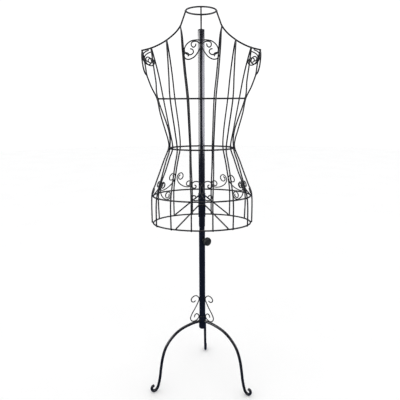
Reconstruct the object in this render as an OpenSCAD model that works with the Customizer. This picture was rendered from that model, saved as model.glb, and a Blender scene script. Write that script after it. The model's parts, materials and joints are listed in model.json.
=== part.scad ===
// Wire dress form on a telescopic tripod stand, in millimetres.
// Origin: floor level on the pole's axis. +Z is up, the form's chest faces -Y, its left arm side is -X.

/* [Body outline] */
// Height of the chest ring
chest_z = 1060; // [1040:1:1080]
// Half width of the body at the chest ring
chest_w = 150; // [140:1:160]
// Height of the waist ring
waist_z = 893; // [880:1:905]
// Half width of the body at the waist ring
waist_w = 114.5; // [105:0.5:125]
// Height of the hip ring
hip_z = 725; // [715:1:740]
// Half width of the body at the hip ring
hip_w = 177; // [170:0.5:185]
// Height of the hem ring
hem_z = 627; // [620:1:632]
// Half width of the body at the hem ring
hem_w = 178.5; // [172:0.5:188]
// Half width of the shoulders
shoulder_w = 197.4; // [190:0.2:205]
// Height of the shoulder tips
shoulder_z = 1216; // [1205:1:1225]
// Height of the neck ring's centre
neck_z = 1339; // [1325:1:1345]
// Radius of the neck ring
neck_r = 49.5; // [46:0.5:54]
// Forward tilt of the neck ring
neck_tilt = 24; // [0:1:30]

/* [Rods] */
// Diameter of the upright wires
wire_d = 4.8; // [4.2:0.1:5.2]
// Diameter of the ring and shoulder wires
ring_d = 5.2; // [4.6:0.1:5.6]
// Diameter of the scroll wires
scroll_d = 3.8; // [3.4:0.1:4]
// Diameter of the two hip struts
strut_d = 5; // [4.6:0.1:5.4]
// Diameter of the leg rods
leg_d = 10; // [9:0.5:11]

/* [Pole] */
// Outer diameter of the stand tube and the torso tube
tube_d = 22; // [21.5:0.1:22.5]
// Wall of both tubes
tube_wall = 1.2; // [1.1:0.05:1.25]
// Outer diameter of the mast that slides in both tubes
mast_d = 19; // [18.6:0.1:19.2]
// Top of the torso tube, below its end cap
tube_top = 1279; // [1270:1:1285]
// Lower end of the torso tube
tube_low = 612; // [608:1:616]
// Top of the stand tube
stand_top = 593; // [585:1:598]
// Outer diameter of the sleeve that carries the struts
sleeve_d = 25.4; // [25:0.1:26]
// Height of the clamp screw
clamp_z = 560; // [545:1:570]
// Direction of the clamp screw, measured from +X towards +Y
clamp_turn = -47; // [-60:1:-30]

/* [Tripod] */
// Turn of the tripod about the pole
tripod_turn = -4; // [-8:1:8]
// Number of legs
leg_count = 3; // [3:1:3]
// Radius from the pole to the foot's contact point
foot_r = 199; // [195:1:205]

/* [Hidden] */

black = [0.06, 0.06, 0.07];
knob_black = [0.09, 0.1, 0.1];
nylon = [0.16, 0.16, 0.17];
zinc = [0.6, 0.6, 0.62];

wire_r = wire_d / 2;
ring_r = ring_d / 2;
scroll_r = scroll_d / 2;
leg_r = leg_d / 2;
tube_r = tube_d / 2;
bore_r = tube_r - tube_wall;
mast_r = mast_d / 2;
sleeve_r = sleeve_d / 2;
nip = 0.2;                 // depth that one rod sinks into another at a weld
gap = 0.3;                 // clearance between parts that move past each other
wire_sides = 6;
leg_sides = 10;

// Armhole loop, hung under the shoulder tip and leaning in towards the body
hole_top = shoulder_z - ring_r - wire_r + nip;
hole_low = 1138;
hole_depth = 37;

// Body section at a height: half width, depth to the front, depth to the back
section_z = [hem_z, hip_z, 807, 851, waist_z, 955, chest_z];
section_w = [hem_w, hip_w, 147.8, 131.5, waist_w, 124.8, chest_w];
section_front = [117, 112, 98, 87, 77, 88, 105];
section_back = [122, 119, 104, 88, 78, 82, 92];

// Half width of each pair of upright wires, from the shoulder wire down to the hem: [half width, height]
inner_line = [[68, 1290], [63.8, 1268], [60, 1215], [54, 1145], [45.5, chest_z], [41, 955],
    [39, waist_z], [39, 851], [38.5, 807], [36, hip_z], [36, hem_z]];
middle_front = [[113.6, 1247], [111.5, 1232], [107.5, 1190], [104, 1130], [101, chest_z], [88, 955],
    [82, waist_z], [88, 851], [95, 807], [105, hip_z], [105, hem_z]];
middle_back = [[113.6, 1247], [111.5, 1232], [106.5, 1190], [100, 1130], [93.5, chest_z], [80, 955],
    [76.5, waist_z], [84, 851], [92.5, 807], [104.5, hip_z], [105, hem_z]];
outer_front = [[165, 1223.5], [163.5, 1212], [157, 1165], [150, 1115], [145, chest_z], [109.5, 955],
    [109.5, waist_z], [122, 851], [134.6, 807], [155.5, hip_z], [158, hem_z]];
outer_back = [[165, 1223.5], [162, 1210], [150.5, 1160], [141.5, 1115], [132, chest_z], [112.5, 955],
    [102.5, waist_z], [115.3, 851], [130, 807], [157.5, hip_z], [158, hem_z]];
side_line = [[182, hole_low - wire_r], [168, 1098], [chest_w, chest_z], [140.5, 1012], [124.8, 955],
    [115.5, 921], [waist_w, waist_z], [131.5, 851], [147.8, 807], [163, 767], [hip_w, hip_z], [hem_w, hem_z]];

// Shoulder wire in the X-Z plane, from the neck ring to the shoulder tip
shoulder_line = [[neck_r + 0.8, neck_z - ring_r + nip], [60.5, 1310], [68.3, 1291.5], [86, 1270],
    [114.5, 1248], [142, 1233], [168, 1223], [shoulder_w, shoulder_z]];

// ---- curve and sweep functions ----

function unit(v) = v / norm(v);
function clampi(i, n) = min(max(i, 0), n - 1);

// Point on the smooth curve through p[1] and p[2], steered by p[0] and p[3], at t from 0 to 1
function smooth_point(p, t) =
    0.5 * (2 * p[1] + (p[2] - p[0]) * t + (2 * p[0] - 5 * p[1] + 4 * p[2] - p[3]) * t * t
    + (3 * p[1] - p[0] - 3 * p[2] + p[3]) * t * t * t);

// Smooth open curve through the points, with n steps a span
function smooth(p, n) = concat(
    [for (i = [0:len(p) - 2], k = [0:n - 1])
        smooth_point([p[clampi(i - 1, len(p))], p[i], p[i + 1], p[clampi(i + 2, len(p))]], k / n)],
    [p[len(p) - 1]]);

// Direction of travel at point i of an open or closed path
function heading(p, i, closed) = closed
    ? unit(p[(i + 1) % len(p)] - p[(i + len(p) - 1) % len(p)])
    : unit(p[clampi(i + 1, len(p))] - p[clampi(i - 1, len(p))]);

// One ring of a swept rod; side_way is a direction that the path never runs along
function rod_ring(c, dir, side_way, r, sides) =
    let (a = unit(cross(dir, side_way)), b = cross(dir, a))
    [for (k = [0:sides - 1]) c + r * (cos(360 * k / sides) * a + sin(360 * k / sides) * b)];

// Round rod swept along a path
module rod(path, r, side_way, sides = wire_sides, closed = false) {
    n = len(path);
    points = [for (i = [0:n - 1]) each rod_ring(path[i], heading(path, i, closed), side_way, r, sides)];
    spans = closed ? n : n - 1;
    skin = [for (i = [0:spans - 1], k = [0:sides - 1])
        let (j = (i + 1) % n, m = (k + 1) % sides)
        each [[i * sides + k, i * sides + m, j * sides + m], [i * sides + k, j * sides + m, j * sides + k]]];
    ends = closed ? [] : [[for (k = [sides - 1:-1:0]) k], [for (k = [0:sides - 1]) (n - 1) * sides + k]];
    polyhedron(points = points, faces = concat(skin, ends), convexity = 8);
}

// ---- body surface ----

// Half width w of the body where an upright wire of half width x lies, as a depth at that height
function depth_at(x, i, back) =
    (back ? section_back[i] : section_front[i]) * sqrt(max(0, 1 - pow(x / section_w[i], 2)));

// Depth of the upright wire at station k of its line; the first four stations are above the chest
function line_depth(line, k, back) =
    let (chest_depth = depth_at(line[4][0], 6, back),
        rise = (line[k][1] - line[4][1]) / (line[0][1] - line[4][1]))
    k > 4 ? depth_at(line[k][0], 10 - k, back)
    : k == 0 ? ring_r + wire_r - nip
    : chest_depth * sqrt(1 - pow(rise, 2.2));

function upright_path(line, side, back) = smooth(
    [for (k = [0:len(line) - 1])
        [side * line[k][0], (back ? 1 : -1) * line_depth(line, k, back), line[k][1]]], 3);

// Section value at any height, straight between the stations
function section(values, z) = lookup(z, [for (i = [0:len(section_z) - 1]) [section_z[i], values[i]]]);

// Point on the body surface at an angle round it: 0 is the side, 90 the middle of the front or back
function skin_point(angle, z, side, back) =
    [side * section(section_w, z) * cos(angle),
        (back ? section(section_back, z) : -section(section_front, z)) * sin(angle), z];

// Angle at which half width x lies at height z
function skin_angle(x, z) = acos(min(1, x / section(section_w, z)));

// Ring path inside the upright wires
function ring_path(i, count) =
    let (inset = wire_r + ring_r - nip)
    [for (k = [0:count - 1]) let (a = 360 * k / count)
        [(section_w[i] - inset) * cos(a),
            ((sin(a) < 0 ? section_front[i] : section_back[i]) - inset) * sin(a), section_z[i]]];

module body_ring(i, count) color(black) rod(ring_path(i, count), ring_r, [0, 0, 1], closed = true);

// ---- scroll curves ----

// Spiral about a centre, from radius r0 to r1, as points of the flat scroll plane
function spiral(c, r0, r1, a0, a1, steps) =
    [for (k = [0:steps]) let (t = k / steps, a = a0 + (a1 - a0) * t, r = r0 + (r1 - r0) * t)
        [c[0] + r * cos(a), c[1] + r * sin(a)]];

// Cubic curve from p0 to p3 with handles p1 and p2, without its two end points
function bezier(p0, p1, p2, p3, steps) =
    [for (k = [1:steps - 1]) let (t = k / steps, s = 1 - t)
        s * s * s * p0 + 3 * s * s * t * p1 + 3 * s * t * t * p2 + t * t * t * p3];

// C scroll across a panel of width span: a big curl from height high at 0, a small curl from low at span
function c_scroll(span, high, big, low, small, sag) = concat(
    spiral([big, high], big * 0.42, big, -250, 180, 16),
    bezier([0, high], [0, high - sag], [span, low - sag], [span, low], 9),
    spiral([span - small, low], small, small * 0.45, 0, 400, 13));

// ---- stand ----

socket_low = 217;
socket_high = 262;
stand_low = socket_low + 8;

module stand_tube() color(black) difference() {
    translate([0, 0, stand_low]) cylinder(r = tube_r, h = stand_top - stand_low, $fn = 64);
    translate([0, 0, stand_low - 1]) cylinder(r = bore_r, h = stand_top - stand_low + 2, $fn = 64);
    clamp_frame() cylinder(r = 4.3, h = 20, $fn = 32);
}

module base_socket() color(black) difference() {
    translate([0, 0, socket_low]) cylinder(r = sleeve_r, h = socket_high - socket_low, $fn = 64);
    translate([0, 0, socket_low - 1]) cylinder(r = tube_r, h = socket_high - socket_low + 2, $fn = 64);
}

module base_plug() color(black) rotate_extrude($fn = 64) union() {
    translate([0, socket_low]) square([tube_r, stand_low - socket_low]);
    intersection() {
        translate([0, socket_low + 5]) circle(r = sleeve_r, $fn = 64);
        translate([0, socket_low - 8]) square([sleeve_r, 8]);
    }
}

// Leg outline as [radius from the pole, height] of the rod's centre, from the socket to the curled toe
leg_line = [[sleeve_r + leg_r - nip, 241], [36, 240], [62, 235], [90, 225.5], [115, 209.5], [138, 186],
    [153.5, 160], [164.5, 125], [171, 88], [176.5, 50], [184, 20], [191, 8.5], [foot_r, leg_r],
    [206, 8], [209.5, 16], [206.5, 24], [200.5, 25.5]];

// Arm that joins a leg to the socket wall
leg_root = [[sleeve_r - 0.6, 241.5], leg_line[0]];

function at_turn(line, a) = [for (p = line) [p[0] * cos(a), p[0] * sin(a), p[1]]];
function leg_turn(i) = 90 + tripod_turn + i * 360 / leg_count;

module leg(i) color(black) rod(at_turn(smooth(concat([leg_root[0]], leg_line), 2), leg_turn(i)), leg_r,
    [-sin(leg_turn(i)), cos(leg_turn(i)), 0], leg_sides);

module leg_rear() leg(0);
module leg_left() leg(1);
module leg_right() leg(2);

// Scroll that braces a leg against the pole, as [radius, height] from its upper curl to its lower curl
base_scroll_line = [[28, 328], [36, 324.5], [44, 329], [45, 338], [38, 345.5], [27.5, 348], [18, 343],
    [tube_r + scroll_r + 0.1, 332], [18, 319], [30, 298], [43, 278], [49, 262.5], [45, 251],
    [34.5, 247], [22.5, 250.5], [sleeve_r + scroll_r + 0.1, 260], [17, 270], [24, 275], [31, 271], [33, 263]];

module base_scroll(i) color(black) rod(at_turn(smooth(base_scroll_line, 3), leg_turn(i)), scroll_r,
    [-sin(leg_turn(i)), cos(leg_turn(i)), 0]);

module base_scroll_rear() base_scroll(0);
module base_scroll_left() base_scroll(1);
module base_scroll_right() base_scroll(2);

// ---- clamp ----

// Places children so that their +Z runs outwards along the clamp screw, from the pole's axis
module clamp_frame() translate([0, 0, clamp_z]) rotate([0, 0, clamp_turn]) rotate([0, 90, 0]) children();

nut_out = 17.5;            // outer face of the weld nut from the pole's axis
screw_r = 4;

module clamp_nut() color(black) difference() {
    clamp_frame() translate([0, 0, 9.5]) cylinder(r = 7.5, h = nut_out - 9.5, $fn = 6);
    translate([0, 0, clamp_z - 20]) cylinder(r = tube_r, h = 40, $fn = 64);
    clamp_frame() cylinder(r = screw_r + 0.08, h = 30, $fn = 32);
}

module clamp_screw() color(zinc) clamp_frame() translate([0, 0, mast_r + gap])
    cylinder(r = screw_r, h = 18.2, $fn = 32);

knob_in = nut_out + 0.6;   // inner face of the knob from the pole's axis

module clamp_knob() color(knob_black) clamp_frame() translate([0, 0, knob_in]) difference() {
    rotate_extrude($fn = 64) polygon([[0, 0], [9, 0], [9, 2], [14, 4], [15.2, 6], [15.2, 12.5],
        [14.4, 14.8], [11.5, 16.2], [0, 17]]);
    translate([0, 0, -1]) cylinder(r = screw_r + 0.05, h = 11, $fn = 32);
    for (i = [0:7]) rotate([0, 0, i * 45]) translate([17.4, 0, -1]) cylinder(r = 3.4, h = 20, $fn = 24);
}

// ---- mast ----

mast_low = 256;
mast_high = 780;

module mast_tube() color(black) difference() {
    translate([0, 0, mast_low]) cylinder(r = mast_r, h = mast_high - mast_low, $fn = 64);
    translate([0, 0, mast_low - 1]) cylinder(r = mast_r - 1.2, h = mast_high - mast_low + 2, $fn = 64);
}

module mast_foot_plug() color(nylon) rotate_extrude($fn = 64) union() {
    translate([0, mast_low]) square([mast_r - 1.2, 14]);
    translate([0, mast_low - 3]) square([mast_r, 3]);
}

module mast_head_plug() color(nylon) rotate_extrude($fn = 64) union() {
    translate([0, mast_high - 14]) square([mast_r - 1.2, 14]);
    translate([0, mast_high]) square([mast_r, 3]);
}

// ---- torso pole ----

module torso_tube() color(black) difference() {
    translate([0, 0, tube_low]) cylinder(r = tube_r, h = tube_top - tube_low, $fn = 64);
    translate([0, 0, tube_low - 1]) cylinder(r = bore_r, h = tube_top - tube_low + 2, $fn = 64);
}

module torso_tube_cap() color(black) rotate_extrude($fn = 64) union() {
    translate([0, tube_top - 14]) square([bore_r, 14]);
    translate([0, tube_top]) square([tube_r, 2]);
}

module stop_plug() color(nylon) translate([0, 0, mast_high + 3 + gap]) cylinder(r = bore_r, h = 18, $fn = 64);

sleeve_low = 648;
sleeve_high = 733;

module strut_sleeve() color(black) difference() {
    translate([0, 0, sleeve_low]) cylinder(r = sleeve_r, h = sleeve_high - sleeve_low, $fn = 64);
    translate([0, 0, sleeve_low - 1]) cylinder(r = tube_r, h = sleeve_high - sleeve_low + 2, $fn = 64);
}

// Strut bent over the sleeve, from the hem ring on one side to the hem ring on the other
module strut(y_side, foot_x, foot_y, apex_z) {
    near = sleeve_r + strut_d / 2 - nip;
    foot_z = hem_z + ring_r + strut_d / 2 - nip;
    part = 0.55;
    half = [[foot_x, foot_y, foot_z],
        [foot_x * part + 6, foot_y * part + 6, foot_z * part + (apex_z - 4) * (1 - part)],
        [near * 0.95, near * 0.9, apex_z - 5], [near * 0.5, near * 0.98, apex_z - 1]];
    arch = concat(half, [[0, near, apex_z]], [for (k = [3:-1:0]) [-half[k][0], half[k][1], half[k][2]]]);
    path = smooth([for (p = arch) [p[0], y_side * p[1], p[2]]], 4);
    color(black) rod(path, strut_d / 2, [0, 1, 0.35 * y_side]);
}

module strut_front() strut(-1, 87, 97, 694);
module strut_rear() strut(1, 99, 96.5, 724);

// ---- rings ----

function neck_point(a) =
    [neck_r * cos(a), neck_r * cos(neck_tilt) * sin(a), neck_z + neck_r * sin(neck_tilt) * sin(a)];

module neck_ring() color(black) rod([for (k = [0:35]) neck_point(10 * k)], ring_r,
    [0, -sin(neck_tilt), cos(neck_tilt)], closed = true);
module chest_ring() body_ring(6, 44);
module waist_ring() body_ring(4, 44);
module hip_ring() body_ring(1, 52);
module hem_ring() body_ring(0, 52);

// Stay from the neck ring down to the cap of the torso tube
module neck_stay(y_side) {
    top = neck_point(90 * y_side);
    foot = 5;
    path = [top - [0, 0, ring_r + wire_r - nip], [0, top[1] * 0.72, top[2] - 14],
        [0, y_side * 14, tube_top + 24], [0, y_side * foot, tube_top + 2 - nip]];
    color(black) rod(smooth(path, 5), wire_r, [1, 0, 0]);
}

module neck_stay_front() neck_stay(-1);
module neck_stay_back() neck_stay(1);

module shoulder_wire(side) {
    color(black) rod([for (p = smooth(shoulder_line, 3)) [side * p[0], 0, p[1]]], ring_r, [0, 1, 0]);
}

module shoulder_wire_left() shoulder_wire(-1);
module shoulder_wire_right() shoulder_wire(1);

function armhole_point(a, side) =
    let (mid = (hole_top + hole_low) / 2, half = (hole_top - hole_low) / 2, z = mid + half * cos(a))
    [side * (182 + (shoulder_w - wire_r - 182) * pow((z - hole_low) / (2 * half), 0.5)),
        hole_depth * sin(a) * (1 - 0.12 * cos(a)), z];

module armhole(side) color(black) rod([for (k = [0:31]) armhole_point(11.25 * k, side)], wire_r,
    [1, 0, 0], closed = true);

module armhole_left() armhole(-1);
module armhole_right() armhole(1);

// ---- upright wires ----

module upright(line, side, back) color(black) rod(upright_path(line, side, back), wire_r, [1, 0, 0]);

module side_wire(side) color(black)
    rod(smooth([for (p = side_line) [side * p[0], 0, p[1]]], 3), wire_r, [0, 1, 0]);

module side_wire_left() side_wire(-1);
module side_wire_right() side_wire(1);
module front_wire_inner_left() upright(inner_line, -1, false);
module front_wire_inner_right() upright(inner_line, 1, false);
module front_wire_middle_left() upright(middle_front, -1, false);
module front_wire_middle_right() upright(middle_front, 1, false);
module front_wire_outer_left() upright(outer_front, -1, false);
module front_wire_outer_right() upright(outer_front, 1, false);
module back_wire_inner_left() upright(inner_line, -1, true);
module back_wire_inner_right() upright(inner_line, 1, true);
module back_wire_middle_left() upright(middle_back, -1, true);
module back_wire_middle_right() upright(middle_back, 1, true);
module back_wire_outer_left() upright(outer_back, -1, true);
module back_wire_outer_right() upright(outer_back, 1, true);

// ---- heart scroll at the neck ----

// Inner rod: small hook at the top of one side, over and across the middle, then round the far lower lobe
heart_inner = [[17, 1228.5], [19, 1221.5], [25, 1218], [30.5, 1222], [31.5, 1230], [26.5, 1235.5],
    [16, 1236.5], [7, 1232], [0, 1224], [-4.5, 1214], [-12.5, 1199.5], [-23, 1187.5], [-38, 1180.5],
    [-50, 1183], [-54, 1192], [-51, 1200], [-44.5, 1200.5], [-40, 1196], [-42, 1190]];
// Outer rod: from the middle over the lobe and in to a large hook
heart_outer = [[4, 1241], [15.5, 1241.5], [32, 1238.5], [45.5, 1228.5], [53, 1214.5], [52, 1203.5],
    [44.5, 1196.5], [32.5, 1195.5], [25, 1202.5], [27.5, 1211], [35, 1213.5]];

// Depth of the front surface between the two inner front wires at the height of the heart
function heart_depth(z) = lookup(z, [[1180, 81], [1210, 71.5], [1245, 55]]);
function heart_place(p, side, lift) = [side * p[0], -heart_depth(p[1]) - lift, p[1]];

module heart(side) color(black) {
    inner = smooth(heart_inner, 3);
    outer = smooth(heart_outer, 3);
    across = [0, 1, 0.4];
    over = [for (p = inner) scroll_d + 0.1 + side * scroll_r * 1.05 * exp(-pow(p[0] / 9, 2))];
    rod([for (k = [0:len(inner) - 1]) heart_place(inner[k], side, over[k])], scroll_r, across);
    rod([for (p = outer) heart_place(p, side, 0)], scroll_r, across);
}

module heart_scroll_left() heart(-1);
module heart_scroll_right() heart(1);

// ---- scrolls under the shoulder tips ----

// Flat outline as [part of the way from the armhole loop to the outer wire, height]
shoulder_scroll_line = [[0.82, 1214.5], [0.45, 1210], [0.12, 1202], [0.04, 1192], [0.12, 1181.5],
    [0.35, 1172.5], [0.65, 1169.5], [0.92, 1173.5], [1, 1181.5], [0.88, 1190], [0.62, 1193.5],
    [0.4, 1189], [0.42, 1181.5], [0.6, 1179]];
shoulder_scroll_from = [191.5, 27.5];
shoulder_scroll_to = [[163.8, 19.3], [159.5, 30.2]];

module shoulder_scroll(side, back) {
    from = shoulder_scroll_from;
    to = shoulder_scroll_to[back ? 1 : 0];
    y_side = back ? 1 : -1;
    path = [for (p = smooth(shoulder_scroll_line, 3))
        [side * (from[0] + (to[0] - from[0]) * p[0] + (p[1] - 1185) * 0.1),
            y_side * (from[1] + (to[1] - from[1]) * p[0]), p[1]]];
    color(black) rod(path, scroll_r, [0.3 * side, y_side, 0]);
}

module shoulder_scrolls(side) {
    shoulder_scroll(side, false);
    shoulder_scroll(side, true);
}

module shoulder_scrolls_left() shoulder_scrolls(-1);
module shoulder_scrolls_right() shoulder_scrolls(1);

// ---- scroll band round the hips ----

// Wraps a flat outline onto the body: x runs from the wire at half width from_x to the wire at to_x
function wrap_scroll(outline, span, from_x, to_x, side, back) =
    [for (p = outline)
        let (z = p[1], a0 = skin_angle(from_x, hip_z), a1 = skin_angle(to_x, hip_z),
            inset = (wire_r + scroll_r) / span,
            part = inset + (1 - 2 * inset) * p[0] / span)
        skin_point(a0 + (a1 - a0) * part, z, side, back)];

module hip_scroll(outline, span, from_x, to_x, side, back) {
    path = wrap_scroll(outline, span, from_x, to_x, side, back);
    mid = skin_point(skin_angle((from_x + to_x) / 2, hip_z), hip_z, side, back);
    color(black) rod(path, scroll_r, [mid[0], mid[1] * 1.9, 0]);
}

front_high = 772;          // height where the big curls of the front band meet the outer wires
back_high = [777, 769];    // same for the back band at the middle wires, left side and right side
front_low = 743;           // height where the small curls of the front band meet the next wires
back_low = 747;            // height where the small curls of the back band meet the next wires
front_sag = 32;            // drop of the front C between its curls
back_sag = 30;             // drop of the back C between its curls

module hip_scrolls_front(side) {
    hip_scroll(c_scroll(64, front_high, 13, front_low, 13, front_sag), 64, 156, 105, side, false);
    hip_scroll(c_scroll(62, front_high, 12, front_low, 11, front_sag), 62, 156, hip_w, side, false);
}

module hip_scrolls_back(side) {
    high = back_high[side < 0 ? 0 : 1];
    hip_scroll(c_scroll(71, high, 16.5, back_low, 12.5, back_sag), 71, 105, 36, side, true);
    hip_scroll(c_scroll(66, high, 16.5, back_low, 12.5, back_sag + 6), 66, 105, 157.5, side, true);
}

module hip_scrolls_front_left() hip_scrolls_front(-1);
module hip_scrolls_front_right() hip_scrolls_front(1);
module hip_scrolls_back_left() hip_scrolls_back(-1);
module hip_scrolls_back_right() hip_scrolls_back(1);

// Centre rod: hook beside the inner wire, along the hip ring, over the middle line and back, then a top hook
centre_line = [[19.5, 741.5], [23.5, 747], [29.2, 746.5], [32.2, 741], [31.2, 734.8], [26, 731.6], [16, 731.5],
    [6, 737], [0, 746.5], [-4.6, 756], [-5.2, 767], [-3, 777], [2, 785], [10, 791.5], [20, 793.5], [29.5, 790],
    [33.6, 783], [32.3, 775.5], [26.5, 771.5], [20.5, 773.5], [19.5, 779], [24, 782]];

// Height of the two places where the left and right centre rods cross
centre_cross = [746.5, 782.5];

module centre_rod(side) {
    path = [for (p = smooth(centre_line, 3))
        let (bump = exp(-pow((p[1] - centre_cross[0]) / 9, 2)) + exp(-pow((p[1] - centre_cross[1]) / 9, 2)),
            lift = abs(p[0]) < 14 ? side * scroll_r * 1.06 * min(1, bump) : 0,
            depth = section(section_front, p[1]) * sqrt(1 - pow(p[0] / section(section_w, p[1]), 2)))
        [side * p[0], -depth - lift, p[1]]];
    color(black) rod(path, scroll_r, [0, 1, 0]);
}

module hip_scroll_centre() for (side = [-1, 1]) centre_rod(side);

stand_tube();
base_socket();
base_plug();
leg_rear();
leg_left();
leg_right();
base_scroll_rear();
base_scroll_left();
base_scroll_right();
clamp_nut();
clamp_screw();
clamp_knob();
mast_tube();
mast_foot_plug();
mast_head_plug();
torso_tube();
torso_tube_cap();
stop_plug();
strut_sleeve();
strut_front();
strut_rear();
neck_ring();
chest_ring();
waist_ring();
hip_ring();
hem_ring();
neck_stay_front();
neck_stay_back();
shoulder_wire_left();
shoulder_wire_right();
armhole_left();
armhole_right();
side_wire_left();
side_wire_right();
front_wire_inner_left();
front_wire_inner_right();
front_wire_middle_left();
front_wire_middle_right();
front_wire_outer_left();
front_wire_outer_right();
back_wire_inner_left();
back_wire_inner_right();
back_wire_middle_left();
back_wire_middle_right();
back_wire_outer_left();
back_wire_outer_right();
heart_scroll_left();
heart_scroll_right();
shoulder_scrolls_left();
shoulder_scrolls_right();
hip_scroll_centre();
hip_scrolls_front_left();
hip_scrolls_front_right();
hip_scrolls_back_left();
hip_scrolls_back_right();
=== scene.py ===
"""Wire dress form on a telescopic tripod stand: round rods, weld beads, turned tubes and a moulded knob.

Lengths are in millimetres until a mesh is made, which is in metres. The curves are those of the CAD rods,
and the sizes of the rings and tubes are read from the frame. The chest faces -Y, and the left side is -X.
"""

import json
import math

import bmesh
import bpy
import numpy as np
from mathutils import Matrix, Vector, noise

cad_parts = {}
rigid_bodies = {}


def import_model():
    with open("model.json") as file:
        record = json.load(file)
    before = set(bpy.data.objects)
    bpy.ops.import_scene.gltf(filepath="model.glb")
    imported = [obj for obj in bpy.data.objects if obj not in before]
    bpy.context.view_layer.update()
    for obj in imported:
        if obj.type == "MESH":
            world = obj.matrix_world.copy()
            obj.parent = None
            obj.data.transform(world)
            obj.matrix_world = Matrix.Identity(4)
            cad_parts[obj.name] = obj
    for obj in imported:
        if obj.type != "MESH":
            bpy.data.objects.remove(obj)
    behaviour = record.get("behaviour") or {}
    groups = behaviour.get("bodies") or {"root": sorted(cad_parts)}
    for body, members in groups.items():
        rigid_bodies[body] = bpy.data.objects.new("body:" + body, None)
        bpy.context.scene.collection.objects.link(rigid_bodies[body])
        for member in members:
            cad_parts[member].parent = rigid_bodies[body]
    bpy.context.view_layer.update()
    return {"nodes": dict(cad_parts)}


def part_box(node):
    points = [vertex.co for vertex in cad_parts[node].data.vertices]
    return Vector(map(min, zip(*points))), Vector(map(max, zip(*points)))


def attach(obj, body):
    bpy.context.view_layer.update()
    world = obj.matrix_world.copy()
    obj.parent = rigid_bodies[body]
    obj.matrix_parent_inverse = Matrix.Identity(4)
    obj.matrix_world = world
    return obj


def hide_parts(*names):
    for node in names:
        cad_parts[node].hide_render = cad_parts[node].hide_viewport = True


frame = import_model()

# ---- sizes ----

MM = 0.001

WIRE_R = 2.4            # upright wires
RING_R = 2.6            # rings and shoulder wires
SCROLL_R = 1.9
STRUT_R = 2.5
LEG_R = 5.0
NIP = 0.2               # depth that one rod sinks into another at a weld
WALL = 1.2              # wall of the tubes
INSET = WIRE_R + RING_R - NIP

ROD_SIDES = 14
LEG_SIDES = 24
TUBE_SIDES = 96
STEPS = 10              # steps between two points of a smooth curve
RING_STEPS = 176


def corners(node):
    """Lowest and highest corner of a CAD node in millimetres."""
    low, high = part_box(node)
    return low / MM, high / MM


def heights(node):
    """Lowest and highest Z of a CAD node in millimetres."""
    low, high = corners(node)
    return low.z, high.z


def ring_section(node):
    """Height, half width, front depth and back depth of the body surface at one of its rings."""
    low, high = corners(node)
    grow = INSET - RING_R
    return (low.z + high.z) / 2, high.x + grow, grow - low.y, grow + high.y


CHEST = ring_section("chest_ring")
WAIST = ring_section("waist_ring")
HIP = ring_section("hip_ring")
HEM = ring_section("hem_ring")
HEM_Z, HIP_Z, WAIST_Z, CHEST_Z = HEM[0], HIP[0], WAIST[0], CHEST[0]
HIP_W = HIP[1]

# Body section from the hem up: height, half width, depth to the front, depth to the back
SECTIONS = np.array([HEM, HIP, (807, 147.8, 98, 104), (851, 131.5, 87, 88), WAIST, (955, 124.8, 88, 82),
                     CHEST])
RING_ROWS = {"chest_ring": 6, "waist_ring": 4, "hip_ring": 1, "hem_ring": 0}

TUBE_R = corners("torso_tube")[1].x
BORE_R = TUBE_R - WALL
MAST_R = corners("mast_tube")[1].x
SLEEVE_R = corners("strut_sleeve")[1].x
TUBE_TOP = heights("torso_tube")[1]
CAP_LOW, CAP_TOP = heights("torso_tube_cap")
CAP_EDGE = 0.8          # rounding of the cap's rim
STAY_FOOT = 5           # where the neck stays stand on the cap, from its middle

# Upright wires, from the shoulder wire down to the hem: half width, height
INNER = [(68, 1290), (63.8, 1268), (60, 1215), (54, 1145), (45.5, CHEST_Z), (41, 955), (39, WAIST_Z),
         (39, 851), (38.5, 807), (36, HIP_Z), (36, HEM_Z)]
MIDDLE_FRONT = [(113.6, 1247), (111.5, 1232), (107.5, 1190), (104, 1130), (101, CHEST_Z), (88, 955),
                (82, WAIST_Z), (88, 851), (95, 807), (105, HIP_Z), (105, HEM_Z)]
MIDDLE_BACK = [(113.6, 1247), (111.5, 1232), (106.5, 1190), (100, 1130), (93.5, CHEST_Z), (80, 955),
               (76.5, WAIST_Z), (84, 851), (92.5, 807), (104.5, HIP_Z), (105, HEM_Z)]
OUTER_FRONT = [(165, 1223.5), (163.5, 1212), (157, 1165), (150, 1115), (145, CHEST_Z), (109.5, 955),
               (109.5, WAIST_Z), (122, 851), (134.6, 807), (155.5, HIP_Z), (158, HEM_Z)]
OUTER_BACK = [(165, 1223.5), (162, 1210), (150.5, 1160), (141.5, 1115), (132, CHEST_Z), (112.5, 955),
              (102.5, WAIST_Z), (115.3, 851), (130, 807), (157.5, HIP_Z), (158, HEM_Z)]
CHEST_STATION = 4       # place of the chest ring in those lines

# Neck, shoulders and armholes
NECK_Z = 1339
NECK_R = 49.5
NECK_TILT = math.radians(24)
SHOULDER_W = 197.4
SHOULDER_Z = 1216
SHOULDER = [(NECK_R + 0.8, NECK_Z - RING_R + NIP), (60.5, 1310), (68.3, 1291.5), (86, 1270), (114.5, 1248),
            (142, 1233), (168, 1223), (SHOULDER_W, SHOULDER_Z)]
HOLE_TOP = SHOULDER_Z - RING_R - WIRE_R + NIP
HOLE_LOW = 1138
HOLE_DEPTH = 37
HOLE_LOW_X = 182
SIDE = [(HOLE_LOW_X, HOLE_LOW - WIRE_R), (168, 1098), CHEST[1::-1], (140.5, 1012), (124.8, 955), (115.5, 921),
        WAIST[1::-1], (131.5, 851), (147.8, 807), (163, 767), HIP[1::-1], HEM[1::-1]]

# Struts from the sleeve to the hem ring: half width and depth of the feet, height of the bend
STRUT_FRONT = (87, 97, 694)
STRUT_REAR = (99, 96.5, 724)

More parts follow.
